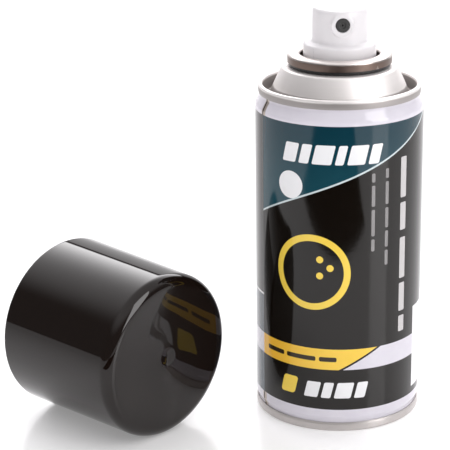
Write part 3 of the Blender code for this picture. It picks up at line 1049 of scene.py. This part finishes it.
def floor_material():
    """Pale satin table top that glows a little, which keeps the shadows soft."""
    material, tree, surface, place = new_material("pale_floor")
    drift = tree.noise(place, 3.0, 2.0)
    pale = tree.mix(drift, colour(0.90, 0.90, 0.905), colour(0.92, 0.915, 0.92))
    tree.set(surface.inputs["Base Color"], pale)
    tree.set(surface.inputs["Roughness"], tree.blend(drift, 0.16, 0.22))
    surface.inputs["Specular IOR Level"].default_value = 0.35
    surface.inputs["Emission Color"].default_value = colour(1.0, 0.99, 0.99)
    surface.inputs["Emission Strength"].default_value = TABLE_GLOW
    return material


def glow_material(name, level):
    material = bpy.data.materials.new(name)
    material.use_nodes = True
    tree = Tree(material.node_tree)
    material.node_tree.nodes.remove(material.node_tree.nodes["Principled BSDF"])
    glow = tree.node("ShaderNodeEmission", {"Color": colour(1.0, 0.985, 0.99), "Strength": level})
    tree.set(material.node_tree.nodes["Material Output"].inputs["Surface"], glow.outputs[0])
    return material


def aimed(item, place, target):
    """Puts a card or light at a place, with its face towards the target."""
    item.location = place
    item.rotation_euler = (Vector(target) - Vector(place)).to_track_quat("-Z", "Y").to_euler()


def area_light(name, place, target, size, power):
    data = bpy.data.lights.new(name, "AREA")
    data.shape = "RECTANGLE"
    data.size, data.size_y = size
    data.energy = power
    light = add_object(name, data)
    aimed(light, place, target)
    light.visible_camera = False
    return light


def build_stage(middle):
    """Floor, surroundings and the dark card in front."""
    floor = flat_card("floor", FLOOR_SIZE, FLOOR_SIZE, floor_material())
    floor.location = (middle.x, middle.y, 0.0)

    build_sky()

    # Dark room beyond the front edge of the lit table, seen only as a reflection
    front = flat_card("dark_front", *DARK_ROOM, glow_material("dark_room", 0.0))
    front.location = (middle.x, middle.y - DARK_ROOM_EDGE - DARK_ROOM[1] / 2, DARK_ROOM_HEIGHT)
    only_in_reflections(front)


def build_sky():
    """Studio round the table: dim walls, a glowing ceiling, a white sweep and a wide soft box at the back."""
    world = bpy.data.worlds.new("studio")
    world.use_nodes = True
    bpy.context.scene.world = world
    tree = Tree(world.node_tree)
    direction = tree.node("ShaderNodeTexCoord").outputs["Generated"]
    parts = tree.node("ShaderNodeSeparateXYZ", {"Vector": direction}).outputs
    rise, back = parts["Z"], parts["Y"]
    leaning = tree.math("MULTIPLY_ADD", parts["X"], CEILING_LEAN, rise)
    ceiling = tree.math("MULTIPLY_ADD", tree.step(leaning, *CEILING_EDGE), CEILING_LEVEL, WALL_LEVEL)
    below = tree.math("SUBTRACT", 1.0, tree.step(rise, *SWEEP_TOP))
    sweep = tree.both(tree.step(back, *SWEEP_SIDES), below)
    level = tree.math("MULTIPLY_ADD", sweep, SWEEP_LEVEL, ceiling)
    box = tree.both(tree.step(back, *BACK_BOX_SIDES), tree.step(rise, *BACK_BOX_FOOT))
    box = tree.both(box, tree.math("SUBTRACT", 1.0, tree.step(rise, *BACK_BOX_FADE)))
    level = tree.math("MULTIPLY_ADD", box, BACK_BOX_LEVEL, level)
    background = world.node_tree.nodes["Background"]
    background.inputs["Color"].default_value = SKY_COLOUR
    tree.set(background.inputs["Strength"], level)


def build_lights(middle):
    """A soft box on the right, whose reflection is a card of its own, and a weak fill in front."""
    target = middle + LIGHTS_AIM
    side = middle + SIDE_BOX_PLACE
    box = area_light("side_box", side, target, SIDE_BOX, SIDE_BOX_WATTS)
    box.visible_glossy = False
    front_of_box = flat_card("side_box_front", *SIDE_BOX, glow_material("side_box_front", SIDE_BOX_LEVEL))
    aimed(front_of_box, side, target)
    only_in_reflections(front_of_box)
    fill = area_light("front_fill", middle + FRONT_FILL_PLACE, target, FRONT_FILL, FRONT_FILL_WATTS)
    fill.visible_glossy = False


def build_camera(base):
    """Camera placed from the can's base by its distances and turned by its pan, pitch and roll."""
    data = bpy.data.cameras.new("camera")
    data.sensor_width = 36.0
    data.lens = LENS_MM
    camera = add_object("camera", data)
    pitch, pan = CAMERA_PITCH, CAMERA_PAN
    forward = Vector((math.sin(pan) * math.cos(pitch), math.cos(pan) * math.cos(pitch), -math.sin(pitch)))
    right = forward.cross(Vector((0, 0, 1))).normalized()
    up = right.cross(forward)
    turned_right = math.cos(CAMERA_ROLL) * right + math.sin(CAMERA_ROLL) * up
    turned_up = math.cos(CAMERA_ROLL) * up - math.sin(CAMERA_ROLL) * right
    basis = Matrix((turned_right, turned_up, -forward)).transposed().to_4x4()
    camera.matrix_world = Matrix.Translation(base + CAMERA_FROM_CAN) @ basis
    data.clip_start = 0.01
    data.clip_end = 50.0
    bpy.context.scene.camera = camera


# ---------------------------------------------------------------- object


def can_axis():
    """Foot of the can's axis."""
    low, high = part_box("can_body")
    return Vector(((low.x + high.x) / 2, (low.y + high.y) / 2, 0.0))


def cap_place(base):
    """Place of the cap, which lies on its drafted side, so that its axis leans by the draft."""
    draft = math.atan2(CAP_RIM_RADIUS - CAP_END_RADIUS, CAP_LENGTH - CAP_EDGE_BEND)
    rim = Vector((base.x + CAP_RIM_FROM_CAN.x, base.y + CAP_RIM_FROM_CAN.y, CAP_RIM_RADIUS * math.cos(draft)))
    turn = Matrix.Rotation(CAP_HEADING, 4, "Z") @ Matrix.Rotation(math.pi / 2 + draft, 4, "X")
    return Matrix.Translation(rim) @ turn


def object_materials(base):
    """The materials of the pieces, by plain name."""
    # Painted shade: the seam's outer wall and the countersink, below the seam's top, take a dark grey. This
    # is the darker reflection of the seam's side painted into the tin.
    cone_painted_shade = (colour(0.36, 0.335, 0.325), CAN_HEIGHT - 0.0010)
    # Painted shade: the cup below the top of its curl, with its side and its inside, takes a dark brown. This
    # is shade and dark reflection painted into the metal.
    cup_painted_shade = (colour(0.17, 0.125, 0.105), CUP_TOP - 0.0009)
    cap_axis = tuple(cap_place(base).to_3x3() @ Vector((0.0, 0.0, 1.0)))
    return {
        "tin": bare_metal(
            "bare_tinplate",
            colour(0.92, 0.885, 0.87),
            colour(0.86, 0.825, 0.81),
            roughness=0.46,
            streak=0.5,
            metallic=0.6,
            painted_shade=cone_painted_shade,
        ),
        "dome tin": bare_metal(
            "dome_tinplate", colour(0.60, 0.565, 0.55), colour(0.52, 0.49, 0.475), roughness=0.38, streak=0.4
        ),
        "cup metal": bare_metal(
            "cup_tinplate",
            colour(0.84, 0.79, 0.76),
            colour(0.77, 0.72, 0.69),
            roughness=0.34,
            streak=0.5,
            metallic=0.9,
            painted_shade=cup_painted_shade,
        ),
        "steel": bare_metal(
            "spring_wire", colour(0.62, 0.62, 0.62), colour(0.5, 0.5, 0.5), roughness=0.25, streak=0.3
        ),
        "rubber": rubber("gasket_rubber", colour(0.010, 0.010, 0.010), colour(0.03, 0.03, 0.03), 0.6),
        "compound": rubber("seam_compound", colour(0.05, 0.05, 0.05), colour(0.08, 0.08, 0.08), 0.8),
        "white plastic": moulded_plastic(
            "white_plastic",
            colour(0.79, 0.765, 0.785),
            colour(0.82, 0.80, 0.815),
            roughness=0.34,
            grain=1500.0,
            grain_depth=0.00001,
        ),
        "dark plastic": moulded_plastic(
            "dark_plastic",
            colour(0.030, 0.030, 0.030),
            colour(0.045, 0.044, 0.043),
            roughness=0.5,
            grain=2500.0,
            grain_depth=0.00002,
        ),
        "black plastic": moulded_plastic(
            "black_plastic",
            colour(0.0075, 0.0042, 0.0030),
            colour(0.0092, 0.0056, 0.0044),
            roughness=0.035,
            grain=260.0,
            grain_depth=0.000004,
            shine=0.39,
            rim=cap_axis,
        ),
        "natural plastic": moulded_plastic(
            "natural_plastic",
            colour(0.78, 0.78, 0.74),
            colour(0.84, 0.84, 0.81),
            roughness=0.4,
            grain=1200.0,
            grain_depth=0.00001,
        ),
    }


def build_object(nodes):
    """Makes every visible piece, and gives the hidden CAD nodes that stay their materials."""
    base = can_axis()
    upright = Matrix.Translation(base)
    button = upright @ Matrix.Rotation(NOZZLE_TURN, 4, "Z")
    insert = button @ Matrix.Translation((0.0, NOZZLE_LENGTH - NOZZLE_FACE, NOZZLE_HEIGHT))
    insert = insert @ Matrix.Rotation(math.pi / 2, 4, "X")
    cap = cap_place(base)

    looks = object_materials(base)
    pieces = (
        ("can_body", can_body_mesh(), printed_tin(), upright, "can", "printed_tinplate"),
        ("top_cone", top_cone_mesh(), looks["tin"], upright, "can", "tinplate"),
        ("bottom_dome", bottom_dome_mesh(), looks["dome tin"], upright, "can", "tinplate"),
        ("valve_cup", valve_cup_mesh(), looks["cup metal"], upright, "can", "cup_metal"),
        ("cup_gasket", cup_gasket_mesh(), looks["rubber"], upright, "can", "black_rubber"),
        ("actuator", actuator_mesh(), looks["white plastic"], button, "button", "white_plastic"),
        ("nozzle_insert", nozzle_insert_mesh(), looks["dark plastic"], insert, "button", "black_insert"),
        ("overcap", overcap_mesh(), looks["black plastic"], cap, "cap", "black_plastic"),
    )
    for node, mesh, material, place, body, slot in pieces:
        add_piece(node, mesh, material, place, body)

    low, high = (corner.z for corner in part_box("valve_spring"))
    spring_mesh = valve_spring_mesh(low, high)
    spring = add_piece("valve_spring", spring_mesh, looks["steel"], upright, "can")
    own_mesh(spring)

    kept = {
        "top_seam_compound": "compound",
        "bottom_seam_compound": "compound",
        "stem_gasket": "rubber",
        "valve_housing": "natural plastic",
        "valve_stem": "natural plastic",
        "dip_tube": "natural plastic",
    }
    for name, look in kept.items():
        mesh = nodes[name].data
        mesh.materials.clear()
        mesh.materials.append(looks[look])
    return base


def main():
    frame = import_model()
    cad_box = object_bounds()
    base = build_object(frame["nodes"])
    middle = Vector(((cad_box[0].x + cad_box[1].x) / 2, (cad_box[0].y + cad_box[1].y) / 2, 0.0))
    build_stage(middle)
    build_lights(middle)
    build_camera(base)
    bpy.context.scene.view_settings.view_transform = "Standard"


main()
